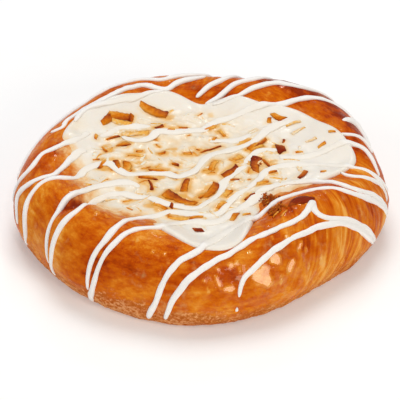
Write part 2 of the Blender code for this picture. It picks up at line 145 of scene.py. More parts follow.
class Finish:
    """A material made of nodes, ending in one Principled surface."""

    def __init__(self, name):
        self.material = bpy.data.materials.new(name)
        self.material.use_nodes = True
        self.tree = self.material.node_tree
        self.surface = self.tree.nodes["Principled BSDF"]

    def node(self, kind, settings, inputs, output=0):
        """Any node: its settings first, then the values or wires of its sockets."""
        made = self.tree.nodes.new(kind)
        for key, value in settings.items():
            if key == "stops":
                while len(made.color_ramp.elements) < len(value):
                    made.color_ramp.elements.new(1)
                for element, (place, colour) in zip(made.color_ramp.elements, value):
                    element.position = place
                    element.color = (*colour, 1)
            else:
                setattr(made, key, value)
        self.connect(made, inputs)
        return Wire(self, made.outputs[output])

    def connect(self, made, inputs):
        for key, value in inputs.items():
            if isinstance(value, Wire):
                self.tree.links.new(value.socket, made.inputs[key])
            else:
                made.inputs[key].default_value = value

    def mix(self, factor, first, second):
        """One colour over another."""
        first, second = ((*c, 1) if isinstance(c, tuple) else c for c in (first, second))
        return self.node("ShaderNodeMix", {"data_type": "RGBA"}, {0: factor, 6: first, 7: second}, 2)

    def shades(self, value, *stops):
        """Colours along a value from 0 to 1."""
        return self.node("ShaderNodeValToRGB", {"stops": stops}, {0: value})

    def painted(self, name):
        """A value that the mesh carries, worked out where its shape is."""
        return self.node("ShaderNodeAttribute", {"attribute_name": name}, {}, 2)

    def mottle(self, size, detail=3, roughness=0.5):
        """Cloudy noise whose blotches are about size metres across."""
        spot = self.node("ShaderNodeTexCoord", {}, {}, 3)
        inputs = {"Vector": spot, "Scale": 1 / size, "Detail": detail, "Roughness": roughness}
        return self.node("ShaderNodeTexNoise", {}, inputs)

    def streaks(self, name, stretch):
        """Noise drawn out along places that the mesh carries, its size given for each axis."""
        place = self.node("ShaderNodeAttribute", {"attribute_name": name}, {}, 1)
        scale = tuple(1 / size for size in stretch)
        spot = self.node("ShaderNodeVectorMath", {"operation": "MULTIPLY"}, {0: place, 1: scale})
        inputs = {"Vector": spot, "Scale": 1, "Detail": 4, "Roughness": 0.62}
        return self.node("ShaderNodeTexNoise", {}, inputs)

    def bump(self, height, distance, strength):
        inputs = {"Height": height, "Distance": distance, "Strength": strength}
        return self.node("ShaderNodeBump", {}, inputs)

    def dress(self, piece, **inputs):
        """Sets the surface's sockets and puts this finish on the piece."""
        self.connect(self.surface, {key.replace("_", " "): value for key, value in inputs.items()})
        piece.data.materials.clear()
        piece.data.materials.append(self.material)


table_mesh = bpy.data.meshes.new("table_top")
corners = np.array([(-1, -1, 0), (1, -1, 0), (1, 1, 0), (-1, 1, 0)]) * TABLE_REACH
table_mesh.from_pydata(corners, [], [(0, 1, 2, 3)])
table_top = bpy.data.objects.new("table_top", table_mesh)
table_top.location.z = cad_box[0][2]
bpy.context.scene.collection.objects.link(table_top)
paint = Finish("pale_table_paint")
grain = paint.mottle(0.02)
paint.dress(
    table_top,
    Base_Color=paint.mix(grain, (0.78, 0.78, 0.78), (0.81, 0.81, 0.81)),
    Roughness=0.7,
    Specular_IOR_Level=0.0,
    Emission_Color=(1, 1, 1, 1),
    Emission_Strength=0.2,
)

# The dough: a rolled strip of layered sweet dough, coiled and baked flat on a
# tray. Its crest stands round the filling, its wall bulges, and the end of the
# strip lies in a seam at the left. Radii and heights go anticlockwise from +X.
MM = 0.001
BOX_MIDDLE = np.array((0.3, 1.1, 0))
RIM_RADII = (61.5, 62, 66.5, 60.5, 62.5, 64, 59.5, 60.5, 62.5, 59.5, 58.5, 59.5, 59.5, 57, 55, 58.5)
CREST_HEIGHTS = (26, 27.5, 28, 30, 27, 28, 29, 27.5, 26, 27.5, 28, 28, 27.5, 27.5, 28, 28)
SHOULDER_RUN = 12.5
FOOT_RUN = 7.0
WIDEST_HEIGHT = 11.0
WALL_LENGTH = 30.0
INNER_DIP = 4.0
INNER_DIP_RUN = 9.0
SEAM = ((-54, -22.5), (-50, -23.8), (-45.5, -25), (-41, -24.5), (-37, -21.8), (-32, -18))
SEAM_DEPTH = 3.2
SEAM_WIDTH = 3.0
SEAM_FADE = 0.85
LOBES = ((-54, -14, 11, 1.3), (-40, -41, 12, 1.4), (32, 48, 16, 1.0), (-30, 43, 9, 1.2))
RIM_LUMP = 0.5
LUMP_WAVES = ((5, 0.12, 1.0, 0.0), (9, -0.17, 0.6, 1.3))
LAYER_RIDGES = (-58, -4, 7)
LAYER_SLANT = 9.0
LAYER_HALF_WIDTH = 1.2
DOUGH_COLUMNS = 720
DOUGH_WALL_ROWS = 94
DOUGH_TOP_ROWS = 42
# Where the rows over the top start and end, measured inwards from the crest.
DOUGH_TOP_RUN = (0.4, 26)
# The reach at which sizes round the wall are true.
WALL_REACH = 55
SUNK_UNDER_CREAM = 2.5
FILM_RUN = 7.0
RAGGED_FOOT = 0.4
SMOOTH_BACK = 0.3

# Where the oven caught the crust and where it stayed pale: middle, spread outwards,
# spread round the pastry at SPOT_REACH, and how much darker.
SPOT_REACH = 52
BAKED_SPOTS = (
    (33, 42.7, 5, 12, 1.0), (51, 25.5, 5, 9, 0.9), (52, 11, 4, 6, 0.5), (8, 42, 3, 9, 0.3),
    (-4, 47, 5, 6, 0.15), (-34, 46, 8, 9, 0.25), (-49, 6, 4, 5, 0.4),
    (-33, -46, 5, 6, 0.3), (-6, -54, 6, 10, 0.4), (15, -54, 8, 12, 0.12), (55, -18, 7, 2.5, 0.35),
    (33, -40, 3, 5, 0.35), (39, -34, 3, 4, 0.35), (-21, -51.5, 3, 10, 0.4), (28, -31, 3, 4, 0.35),
    (-15, -45, 5, 9, -0.4), (2, -64, 5, 30, -0.12), (40, -42, 6, 7, -0.1), (-51, -14, 4, 4, -0.2),
    (46, -28, 3, 4, -0.15), (52, 0, 5, 4, -0.3), (18, -47, 4, 6, -0.1), (-46, -36, 5, 4, -0.3),
    (-57, -27, 6, 7, -0.25), (-46, 2, 4, 5, -0.25), (32, 31, 4, 12, -0.3), (-16, -58.5, 3, 9, -0.25),
    (41, -55, 8, 22, -0.3),
)


def smooth_between(before, here, after, beyond, t):
    """The smooth curve from here to after, at a share t of the way."""
    return 0.5 * (
        2 * here
        + (after - before) * t
        + (2 * before - 5 * here + 4 * after - beyond) * t**2
        + (3 * here - before - 3 * after + beyond) * t**3
    )


def around(values, bearing):
    """The smooth closed curve through equally spaced values, at a bearing in radians."""
    values = np.asarray(values, float)
    spot = np.mod(bearing, math.tau) / math.tau * len(values)
    index = np.floor(spot).astype(int)
    nearby = (values[(index + k) % len(values)] for k in (-1, 0, 1, 2))
    return smooth_between(*nearby, spot - index)


def polar(x, y):
    return np.arctan2(y, x), np.hypot(x, y)


def bare_dough(x, y):
    """Points of the smooth dough for positions on a flat layout that is laid over the pastry."""
    bearing, reach = polar(x, y)
    widest, height = around(RIM_RADII, bearing), around(CREST_HEIGHTS, bearing)
    crest = widest - SHOULDER_RUN
    turn = np.clip((reach - crest) / WALL_LENGTH, 0, 1) * math.pi
    shoulder = turn <= math.pi / 2
    run = np.where(shoulder, SHOULDER_RUN, FOOT_RUN)
    rise = np.where(shoulder, height - WIDEST_HEIGHT, WIDEST_HEIGHT)
    inward = np.maximum(crest - reach, 0)
    dip = INNER_DIP * (1 - np.exp(-((inward / INNER_DIP_RUN) ** 2)))
    radius = np.where(inward > 0, reach, widest - run + run * np.sin(turn))
    level = WIDEST_HEIGHT + rise * np.cos(turn) - dip
    return np.stack([radius * np.cos(bearing), radius * np.sin(bearing), level], -1)


def distance_to_path(x, y, path):
    nearest = np.full(np.shape(x), np.inf)
    for (x0, y0), (x1, y1) in zip(path, path[1:]):
        t = ((x - x0) * (x1 - x0) + (y - y0) * (y1 - y0)) / ((x1 - x0) ** 2 + (y1 - y0) ** 2)
        t = np.clip(t, 0, 1)
        nearest = np.minimum(nearest, np.hypot(x - x0 - t * (x1 - x0), y - y0 - t * (y1 - y0)))
    return nearest


def smooth_rise(value, low, high):
    t = np.clip((value - low) / (high - low), 0, 1)
    return t * t * (3 - 2 * t)


def swell(x, y):
    """The large relief of the dough: its lumps, its lobes and the seam."""
    bearing, reach = polar(x, y)
    height = np.zeros(np.shape(x))
    for round_waves, down_waves, share, phase in LUMP_WAVES:
        turn = round_waves * bearing + down_waves * reach + phase
        height = height + RIM_LUMP * share * np.sin(turn)
    for lobe_x, lobe_y, spread, rise in LOBES:
        height = height + rise * np.exp(-(((x - lobe_x) ** 2 + (y - lobe_y) ** 2) / spread**2))
    depth = SEAM_DEPTH * (1 - SEAM_FADE * smooth_rise(reach, 46, 57))
    return height - depth * np.exp(-((distance_to_path(x, y, SEAM) / SEAM_WIDTH) ** 2))


def surface_normal(surface, x, y):
    step = 0.4
    along_x = surface(x + step, y) - surface(x - step, y)
    along_y = surface(x, y + step) - surface(x, y - step)
    normal = np.cross(along_x, along_y)
    return normal / np.linalg.norm(normal, axis=-1, keepdims=True)


def dough_at(x, y, extra=0):
    """Points of the dough with its relief, which dies out at the underside."""
    points = bare_dough(x, y)
    fade = np.clip(points[..., 2:] / WIDEST_HEIGHT, 0, 1)
    lift = (swell(x, y) + extra)[..., None]
    return points + surface_normal(bare_dough, x, y) * lift * fade


def crumb(points, seed):
    """Smooth random values from -1 to 1 in space, about one blob for each unit of length."""
    cell = np.floor(points).astype(np.int64)
    t = points - cell
    t = t * t * (3 - 2 * t)
    total = np.zeros(points.shape[:-1])
    for corner in itertools.product((0, 1), repeat=3):
        mixed = (cell + corner) * (73856093, 19349663, 83492791)
        mixed = (mixed[..., 0] ^ mixed[..., 1] ^ mixed[..., 2]) + seed * 7919
        mixed = ((mixed ^ (mixed >> 13)) * 1274126177) & 0xFFFFFF
        mixed = ((mixed ^ (mixed >> 11)) * 2654435761) & 0xFFFFFF
        weight = np.prod(np.where(corner, t, 1 - t), -1)
        total += weight * (mixed / 0x7FFFFF - 1)
    return total


def layered(x, y, round_size, down_size, slant, seed, octaves=3):
    """Crumb stretched on the wall: sizes in mm round it and down it, and a slant."""
    bearing, reach = polar(x, y)
    turned = bearing + slant * reach / WALL_REACH
    total, size, share = 0, 1.0, 1.0
    for octave in range(octaves):
        near = WALL_REACH / (round_size * size)
        spot = [np.cos(turned) * near, np.sin(turned) * near, reach / (down_size * size)]
        total = total + share * crumb(np.stack(spot, -1), seed + octave)
        size, share = size / 2, share * 0.55
    return total


def sector(x, y, middle, spread):
    """1 at a bearing in degrees, fading to 0 over a spread in degrees to either side."""
    off = np.degrees(np.arctan2(y, x)) - middle
    off = (off + 180) % 360 - 180
    return np.exp(-((off / spread) ** 2))


def wall_share(x, y):
    """0 at the crest, 0.5 where the wall is widest and 1 at the tray."""
    crest = around(RIM_RADII, np.arctan2(y, x)) - SHOULDER_RUN
    return (np.hypot(x, y) - crest) / WALL_LENGTH


def layer_edges(x, y):
    """The rolled layers' cut edges, from -1 in a gap to 1 on an edge."""
    (bearing, reach), share = polar(x, y), wall_share(x, y)
    down_side = layered(x, y, 2.8, 40, 0.15, 1)
    fine = (sector(x, y, -10, 26) + 0.6 * sector(x, y, 92, 26)) * down_side
    fine = fine + sector(x, y, -46, 18) * layered(x, y, 2.8, 18, 0.9, 5)
    ridges = np.zeros(np.shape(x))
    for ridge in np.radians(np.linspace(*LAYER_RIDGES)):
        off = (bearing - ridge - math.radians(LAYER_SLANT) * share) * reach
        ridges += np.exp(-((off / LAYER_HALF_WIDTH) ** 2))
    return fine + ridges * smooth_rise(share, -0.1, 0.15) * (1 - smooth_rise(share, 0.45, 0.7))


# Pools where the glaze set flat: middle, half length round the pastry, half length
# down it, slant in degrees. Those at the front face forwards and up and a little to
# the right, and those at the back face up.
GLAZE_POOLS = (
    (19, -52, 3.4, 2.4, 0), (22.5, -47.2, 1.9, 1.5, 0), (27.8, -46.2, 0.8, 2.2, 59),
    (30.2, -41, 0.7, 2.0, 59), (8.5, -57.5, 2.2, 0.7, 0), (5.3, -56.5, 0.7, 1.9, -37),
    (2.2, -58.5, 0.6, 1.0, -20), (9.5, -52.2, 1.4, 0.8, 0), (5, -53.8, 0.9, 0.5, 20),
    (12, -53, 0.8, 0.8, 0), (-11, -50.5, 0.7, 0.5, 0), (-10.1, -52.2, 0.5, 0.8, -30),
    (-14.7, -49.5, 0.8, 0.5, 0), (-19.7, -45.7, 0.5, 0.5, 0), (25, -50.8, 0.6, 1.2, 30),
    (26, -40.9, 0.8, 0.5, 0), (32.3, -40.8, 0.6, 0.9, 40), (15, -48, 0.8, 0.6, 0),
    (11, -51.3, 0.7, 0.6, 0), (13.1, -55.2, 0.8, 0.6, 0), (0.9, -56.5, 0.6, 0.5, 0),
    (16.8, -42.9, 0.7, 0.5, 0), (38.5, -39.5, 0.6, 1.2, 30), (22, -42.5, 0.6, 0.5, 0),
    (34, -43.5, 0.5, 1.1, 40), (-12.6, -54.4, 0.5, 0.5, 0), (-33, -33, 0.8, 0.9, 30),
    (-30, -34.6, 1.1, 0.5, 0), (27.6, 41.8, 1.0, 0.9, 0),
    (29.6, 39.8, 1.1, 0.7, 30), (23.2, 39.4, 0.6, 0.6, 0),
)
FRONT_POOL_FACING = np.array((0.250, -0.829, 0.499))
BACK_POOL_FACING = np.array((0.025, -0.062, 0.998))


def pool_shares(x, y):
    """How far each pool of glaze covers a position: 1 inside it and 0 outside, its edge ragged."""
    ragged = 0.22 * layered(x, y, 2.2, 2.2, 0, 61, 2)
    shares = []
    for pool_x, pool_y, half_round, half_down, slant in GLAZE_POOLS:
        reach, angle = math.hypot(pool_x, pool_y), math.radians(slant)
        off = (np.arctan2(y, x) - math.atan2(pool_y, pool_x)) * reach
        down = np.hypot(x, y) - reach
        far_round = (off * math.cos(angle) + down * math.sin(angle)) / half_round
        far_down = (down * math.cos(angle) - off * math.sin(angle)) / half_down
        shares.append(1 - smooth_rise(np.hypot(far_round, far_down) + ragged, 0.8, 1.1))
    return shares


pool_planes = []
for pool_x, pool_y, *_ in GLAZE_POOLS:
    facing = FRONT_POOL_FACING if pool_y < 0 else BACK_POOL_FACING
    pool_planes.append((facing, dough_at(np.array(pool_x, float), np.array(pool_y, float)) @ facing))


def flat_pools(x, y, relief):
    """The relief, levelled where a pool of glaze set."""
    bare, normal = bare_dough(x, y), surface_normal(bare_dough, x, y)
    for (facing, plane), share in zip(pool_planes, pool_shares(x, y)):
        level = (plane - bare @ facing) / np.maximum(normal @ facing, 0.5) - swell(x, y)
        relief = relief + share * (np.clip(level, -1.2, 1.2) - relief)
    return relief


def crust_relief(x, y):
    """Fine relief: layer edges, pocked glaze at the front, a rough foot."""
    share = wall_share(x, y)
    on_wall = smooth_rise(share, -0.35, 0.05)
    pocked = sector(x, y, -60, 24) * smooth_rise(share, -0.1, 0.1) * (1 - smooth_rise(share, 0.5, 0.7))
    pocks = layered(x, y, 6.0, 5.0, 0, 9)
    foot = smooth_rise(share, 0.5, 0.75)
    flaky = layered(x, y, 4.0, 1.6, 0, 13)
    skin = layered(x, y, 8, 4, 0, 17)
    fine = 0.3 * on_wall * layer_edges(x, y) + 0.4 * pocked * pocks + 0.3 * foot * flaky + 0.2 * skin
    return fine - SMOOTH_BACK * sector(x, y, 85, 25)


def baked_spots_and_crease_shade(x, y):
    """How dark the crust is over its plain colour, from below 0 to 1, with painted shade along the
    seam's crease.
    """
    bearing, reach = polar(x, y)
    total = np.zeros(np.shape(x))
    for spot_x, spot_y, out, along, darker in BAKED_SPOTS:
        off = (bearing - math.atan2(spot_y, spot_x) + math.pi) % math.tau - math.pi
        off_out = (reach - math.hypot(spot_x, spot_y)) / out
        total += darker * np.exp(-((off * SPOT_REACH / along) ** 2) - off_out**2)
    broken = 1 + 0.5 * layered(x, y, 6, 3, 0, 37)
    # Painted shade: the crust is drawn darker along the seam's crease, where it also baked darker.
    beside_seam = distance_to_path(x, y, SEAM)
    crease_bake_and_shade = 0.75 * np.exp(-((beside_seam / 1.8) ** 2)) + 0.15 * np.exp(-((beside_seam / 4) ** 2))
    return total * broken + crease_bake_and_shade * (1 - 0.8 * smooth_rise(reach, 47, 55))


# The cream's outline at equally spaced bearings, anticlockwise from +X.
CREAM_RADII = (
    50.5, 49.5, 46.5, 45.5, 41, 41, 39, 45.5, 46, 47, 49, 48,
    43.5, 42.5, 43.5, 42.5, 36.5, 44, 49.5, 48, 34.5, 30, 31.5, 39,
)

# Where the cream is only a film over the dough: middle, spread and how fully.
THIN_SPOTS = (
    (-47, 7, 6, 1.0), (-43, -2, 8, 1.0), (-40, -12, 8, 1.0), (-36, -21, 8, 1.0), (-28, -27, 7, 1.0),
    (-22, -27, 5, 0.9), (-15, -33, 4, 0.7), (21, -22, 4, 0.9), (26, -17, 3.5, 0.9),
    (33, -14, 4, 0.8), (40, -12, 3, 0.6), (-40, 20, 4, 0.4),
)


def inside_cream(x, y):
    """How far a position lies inside the cream's outline; negative outside it."""
    return around(CREAM_RADII, np.arctan2(y, x)) - np.hypot(x, y)


def film_zone(x, y):
    """1 where the cream is only a film over the dough."""
    film = np.zeros(np.shape(x))
    for spot_x, spot_y, spread, share in THIN_SPOTS:
        film = film + share * np.exp(-(((x - spot_x) ** 2 + (y - spot_y) ** 2) / spread**2))
    return np.clip(film, 0, 1)


def milk_depth(x, y):
    """How thick the milky film over the dough is: 0 at its soft edge, 1 where it is cream."""
    return film_zone(x, y) * smooth_rise(inside_cream(x, y), -6, 12)


def placed(name, mesh):
    """The object of a finished mesh, fixed to the pastry's body."""
    mesh.shade_smooth()
    piece = bpy.data.objects.new(name, mesh)
    bpy.context.scene.collection.objects.link(piece)
    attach(piece, "root")
    return piece


def shell_piece(name, rings, painted):
    """A closed mesh from rings of points, with values painted on its points."""
    count, total = len(rings[0]), len(rings)
    points = np.concatenate(rings)
    points = (np.vstack([points, rings[0].mean(0), rings[-1].mean(0)]) - BOX_MIDDLE) * MM
    row, column = np.meshgrid(np.arange(total - 1), np.arange(count), indexing="ij")
    here, beside = row * count + column, row * count + (column + 1) % count
    faces = np.stack([here, beside, beside + count, here + count], -1).reshape(-1, 4).tolist()
    last = (total - 1) * count
    for c in range(count):
        d = (c + 1) % count
        faces.append((d, c, len(points) - 2))
        faces.append((last + c, last + d, len(points) - 1))
    mesh = bpy.data.meshes.new(name)
    mesh.from_pydata(points, [], faces)
    for key, values in painted.items():
        ends = [values[0].mean(0, keepdims=True), values[-1].mean(0, keepdims=True)]
        flat = np.concatenate(values + ends).astype(np.float32)
        if flat.ndim == 1:
            mesh.attributes.new(key, "FLOAT", "POINT").data.foreach_set("value", flat)
        else:
            mesh.attributes.new(key, "FLOAT_VECTOR", "POINT").data.foreach_set("vector", flat.ravel())
    return placed(name, mesh)


def laid_out(x, y, slant=0.0):
    """Places in mm round and down the dough, as a mesh carries them for its streaks."""
    reach = np.hypot(x, y)
    bearing = np.arctan2(y, x) + slant * reach / WALL_REACH
    return np.stack([WALL_REACH * np.cos(bearing), WALL_REACH * np.sin(bearing), reach], -1)


bearings = np.arange(DOUGH_COLUMNS) / DOUGH_COLUMNS * math.tau
east, north = np.cos(bearings), np.sin(bearings)
crest_reach = around(RIM_RADII, bearings) - SHOULDER_RUN
reaches = [crest_reach + share * WALL_LENGTH for share in np.linspace(1, 0, DOUGH_WALL_ROWS)]
reaches += [crest_reach - inward for inward in np.linspace(*DOUGH_TOP_RUN, DOUGH_TOP_ROWS)]
rings = []
painted = {}
for reach in reaches:
    x, y = reach * east, reach * north
    ring = dough_at(x, y, flat_pools(x, y, crust_relief(x, y)))
    inside, share = inside_cream(x, y), wall_share(x, y)
    ragged = RAGGED_FOOT * smooth_rise(share, 0.6, 0.8) * layered(x, y, 3.0, 2.0, 0, 71)
    ring[:, :2] += ragged[:, None] * np.stack([east, north], -1)
    ring[:, 2] -= SUNK_UNDER_CREAM * smooth_rise(inside - FILM_RUN * film_zone(x, y), 0, 3.5)
    rings.append(ring)
    low = share + 0.09 * layered(x, y, 7, 6, 0, 29, 4) + 0.08 * sector(x, y, -118, 26)
    low = smooth_rise(low, 0.48, 0.78)
    crest_grains_and_glints = sector(x, y, -102, 26) * smooth_rise(share, -0.5, -0.2)
    crest_grains_and_glints = crest_grains_and_glints * (1 - smooth_rise(share, 0.12, 0.3))
    cut = sector(x, y, -22, 34) + 0.6 * sector(x, y, 92, 26)
    glaze = 0.35 * (1 - smooth_rise(share, 0.0, 0.2)) * (1 - sector(x, y, 0, 50))
    glaze = 0.05 + 0.45 * sector(x, y, -66, 26) + glaze
    here = {
        "bake": baked_spots_and_crease_shade(x, y) + 0.2 * layered(x, y, 9, 4, 0.2, 21),
        "foot": low * (1 + 0.5 * sector(x, y, -120, 30) - 0.3 * sector(x, y, -44, 36)),
        "grains": np.clip(0.3 + 0.7 * low + 0.7 * crest_grains_and_glints, 0, 1),
        "edges": layer_edges(x, y) * smooth_rise(share, -0.4, 0.0),
        "cut": np.clip(cut, 0, 1) * smooth_rise(share, -0.3, 0.1),
        "glaze": np.clip(glaze, 0, 1),
        "pools": np.clip(sum(pool_shares(x, y)), 0, 1),
        "milk": milk_depth(x, y),
        "laid": laid_out(x, y),
        "raked": laid_out(x, y, 0.3 + 0.4 * sector(x, y, -62, 50)),
    }
    for key, values in here.items():
        painted.setdefault(key, []).append(values)
rings[0][:, 2] = 0
crust = shell_piece("crust", rings, painted)
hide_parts("pastry")


def seen_through_film(finish, blotch, under):
    """The colour under the milky film, paler in wisps as the film painted on the mesh thickens."""
    torn = (finish.mottle(0.0035, 3, 0.6) - 0.5) * 0.6
    milk = finish.painted("milk") + (blotch - 0.5) * 0.8 + torn
    thin, thick, whole = (0.80, 0.42, 0.14), (0.85, 0.60, 0.34), (0.86, 0.76, 0.60)
    wisps = finish.shades(milk, (0.35, thin), (0.6, thick), (1.0, whole))
    return finish.mix(milk.between(0.05, 0.6), under, wisps)


golden = Finish("golden_crust")
blotch = golden.mottle(0.007, 4, 0.6)
fine = golden.mottle(0.0011, 3, 0.65)
round_it = golden.streaks("laid", (4.0, 4.0, 1.1))
down_it = golden.streaks("raked", (1.1, 1.1, 14.0))
cut_wire = golden.painted("cut")
grain_lines = (round_it - 0.5) * (1 - cut_wire) + (down_it - 0.5) * cut_wire * 1.5
tone = (
    golden.painted("bake") * 0.75
    + (blotch - 0.5) * (0.8 - 0.4 * cut_wire)
    + grain_lines * 1.1
    + (fine - 0.5) * golden.painted("grains") * 0.9
    # Pale flecks where the crust is grainy: pale crumbs of dough, and painted glints.
    - fine.between(0.54, 0.7) * golden.painted("grains") * 0.35
    - golden.painted("edges") * 0.2
    # Painted highlight: the crust is drawn lighter under the pools of glaze, where the front softbox
    # shows in them.
    - golden.painted("pools") * 0.3
    + 0.505
)
honey = golden.shades(
    tone,
    (0.0, (0.84, 0.40, 0.085)),
    (0.25, (0.73, 0.235, 0.016)),
    (0.5, (0.61, 0.130, 0.004)),
    (0.75, (0.48, 0.066, 0.002)),
    (1.0, (0.26, 0.024, 0.002)),
)
foot_wire = golden.painted("foot")
matt = (foot_wire + (fine - 0.5) * 0.5 + grain_lines * 0.8).between(0.15, 0.95)
dusty = golden.shades(
    fine + (round_it - 0.5) * 0.5 + foot_wire.between(0.9, 1.6) * 0.09,
    (0.36, (0.34, 0.068, 0.011)),
    (0.5, (0.50, 0.145, 0.032)),
    (0.66, (0.78, 0.40, 0.17)),
)
crusted = golden.mix(matt * 0.8, honey, dusty)
beads = golden.mottle(0.003, 2).between(0.49, 0.55)
pools_wire = golden.painted("pools")
golden.dress(
    crust,
    Base_Color=seen_through_film(golden, blotch, crusted),
    Roughness=0.2 + 0.5 * matt,
    Specular_IOR_Level=0.02,
    Coat_Weight=(golden.painted("glaze") * beads * (1 - pools_wire) + pools_wire) * (1 - matt),
    Coat_Roughness=0.05,
    Coat_IOR=1.45,
    Normal=golden.bump(fine + grain_lines + 0.5 * golden.mottle(0.0006, 2), 0.0002, 0.8),
)

# The cream: soft white coconut cream under a milky glaze. It fills the
# pocket, ends in a rounded lip on the dough, thins to a film over the dough at
# the left and beside the bay, and runs over the coconut that sank in it.

# Each shred is its middle, heading, length, width and how far it toasted.
TOASTED_SHREDS = (
    (-16, 33, -20, 10, 3.8, 0.5), (-27.5, 28, 5, 7.5, 3, 0.5), (-31.5, 25.5, 50, 5.5, 2.6, 0.6),
    (-23.5, 28, 75, 3, 1.5, 0.68), (-27, 26, 0, 7.5, 2.2, 0.2), (-14, 23, 20, 3, 1.4, 0.85),
    (-22, 20, -5, 9, 2.4, 0.2), (-29.5, 17.5, 35, 5, 1.3, 0.6), (-25.5, 13, -30, 3.5, 3.6, 0.5),
    (-20.5, 9, 0, 2, 1.1, 0.55), (-21.5, 6, 0, 5, 1.4, 0.22), (-13, 8.5, 15, 2.5, 1.2, 0.55),
    (-4.5, 7.5, -5, 3, 1.2, 0.42), (-8.5, 1.5, -20, 2.5, 1.4, 0.62), (-14, -2, -5, 6.5, 1.9, 0.42),
    (-27.5, 0.5, -70, 4.5, 1.8, 0.58), (-24.5, 0, 85, 4.5, 2.9, 0.4),
    (-32.5, 1, 65, 3.5, 1.9, 0.45), (-17.5, -7, -5, 6, 1.6, 0.45),
    (-15.5, -7.5, -25, 2.5, 1.4, 0.72), (-16.5, -11.5, -80, 6, 1.1, 0.82),
    (-5, -11.5, 80, 7.5, 2.2, 0.62), (-10, -18, -30, 4.5, 4.4, 0.62), (-5.5, -20, -25, 8, 3, 0.6),
    (-9.5, -23.5, 80, 2.5, 1.4, 0.8), (-13.5, -24.5, -30, 5, 1.6, 0.35),
    (3, -13.5, 60, 9.5, 3.4, 0.54), (4, -0.5, 70, 6, 2, 0.32), (9.5, -2.5, 55, 8, 2.2, 0.76),
    (11, -8, 0, 3, 1.3, 0.55), (8.5, -16, 60, 4, 2.6, 0.3), (10.5, -30, 70, 4.5, 2.4, 0.42),
    (15.5, -19, 60, 3, 2.2, 0.72), (-1, -37.5, 0, 3, 2.6, 0.85), (2, 9.5, 30, 5, 0.9, 0.66),
    (5, 11.5, 40, 4, 1, 0.66), (3, 24, 40, 5, 1.6, 0.36), (7, 20.5, -60, 4, 1.3, 0.26),
    (4.5, 17, 70, 2, 1.1, 0.4), (-10, 21.5, 0, 2.5, 1.2, 0.32), (-6, 23, 10, 3, 1, 0.58),
    (-1.5, -30.5, 10, 4.5, 1.6, 0.38), (-7.5, -30.5, -10, 6.5, 1.8, 0.28),
    (-3.5, -22, 0, 3.5, 1.6, 0.36), (14.5, -29.5, 30, 3, 1.4, 0.3), (12, 5, 50, 4, 2, 0.25),
    (0, -17, 70, 3.5, 1.6, 0.4), (26, 28.5, -40, 4.5, 2.6, 0.42), (23, 27, 85, 2.5, 1.6, 0.46),
    (19, 13.5, 45, 7.5, 1.5, 0.66), (18, 11.5, 40, 5.5, 3, 0.36), (26.5, 10.5, 10, 3, 5.2, 0.9),
    (27.5, 15.5, 80, 2.5, 0.9, 0.8), (18.5, 1.5, 85, 9.5, 3.2, 0.72), (21.5, 2, -65, 5.5, 1.1, 0.6),
    (23.5, -3.5, 20, 3, 1.5, 0.45), (33, -5.5, 60, 5, 2.2, 0.62), (40, 10.5, 30, 3, 1.4, 0.36),
    (43.5, 15, -15, 2.5, 1.3, 0.3), (32.5, 8, 5, 2.5, 1.1, 0.3), (31, 24.5, 10, 5, 1.3, 0.13),
    (32.5, 20.5, 25, 4.5, 1.6, 0.1), (16.5, -18.5, 40, 3, 2.2, 0.8), (40, -4.5, 0, 2, 1.2, 0.34),
    (36.5, 14, 15, 3.5, 1.4, 0.08), (14.5, 14.5, 20, 4, 1, 0.28), (-36.5, -11, 0, 2, 1, 0.3),
    (-32, 10, -60, 3.5, 1.2, 0.4), (-35, 16.5, 80, 2.5, 1.1, 0.34), (6.5, -23, 55, 4.5, 1.7, 0.3),
    (20, -10.5, 15, 4, 1.6, 0.34),
)
SHREDS_ON_DOUGH = (
    (32, -26.3, -2, 6.8, 4.6, 1.05), (24, -31.5, 52, 4, 0.8, 0.4), (26.5, -32, 58, 3.6, 0.7, 0.32),
    (22.5, -30, 50, 3, 0.8, 0.5),
)
# Broken pieces lie thick here: middle, spread along x and y, how many, how toasted.
CHUNKS = (
    (21.8, -20, 2.2, 3.2, 120, 0.7), (23.6, -27.6, 3.2, 3.4, 170, 0.66), (18.5, 2, 0.9, 2.8, 26, 0.72),
)
# The icing ran between the two heaps of broken pieces here.
BETWEEN_HEAPS = ((17.4, -30.2), (20, -26.9), (23, -23.8), (25.6, -21.4), (28.8, -20.3))
SUNK_SHREDS = 260
SHOWN_SUNK_SHREDS = 130
TAN_SHREDS = 90
SHOWN_TAN_SHREDS = 40
# A strip's cut: how far out each corner stands and its height in mm over the cream.
SHRED_CUT = ((-1, -0.16), (-0.5, 0.1), (0.5, 0.1), (1, -0.16), (0.6, -0.45), (-0.6, -0.45))
SEED = 5
rng = random.Random(SEED)


def strewn_shreds(count, spread, middle_x, within, turned, lengths, widths, toast):
    """Shreds at random over the middle, none nearer to the cream's edge than within."""
    shreds = []
    while len(shreds) < count:
        bearing, reach = rng.uniform(0, math.tau), spread * math.sqrt(rng.random())
        x, y = reach * math.cos(bearing) + middle_x, reach * math.sin(bearing) - 1
        if inside_cream(np.array(x), np.array(y)) < within:
            continue
        size = rng.uniform(*lengths), rng.uniform(*widths)
        shreds.append((x, y, rng.gauss(8, turned), *size, toast()))
    return shreds


sunk_shreds = strewn_shreds(
    SUNK_SHREDS, 36, -1, 4, 50, (2.0, 6.0), (0.7, 1.7), lambda: 0.2 * rng.random() ** 2
)
tan_shreds = strewn_shreds(
    TAN_SHREDS, 33, -3, 6, 45, (1.2, 3.6), (0.5, 1.1), lambda: rng.uniform(0.2, 0.5)
)


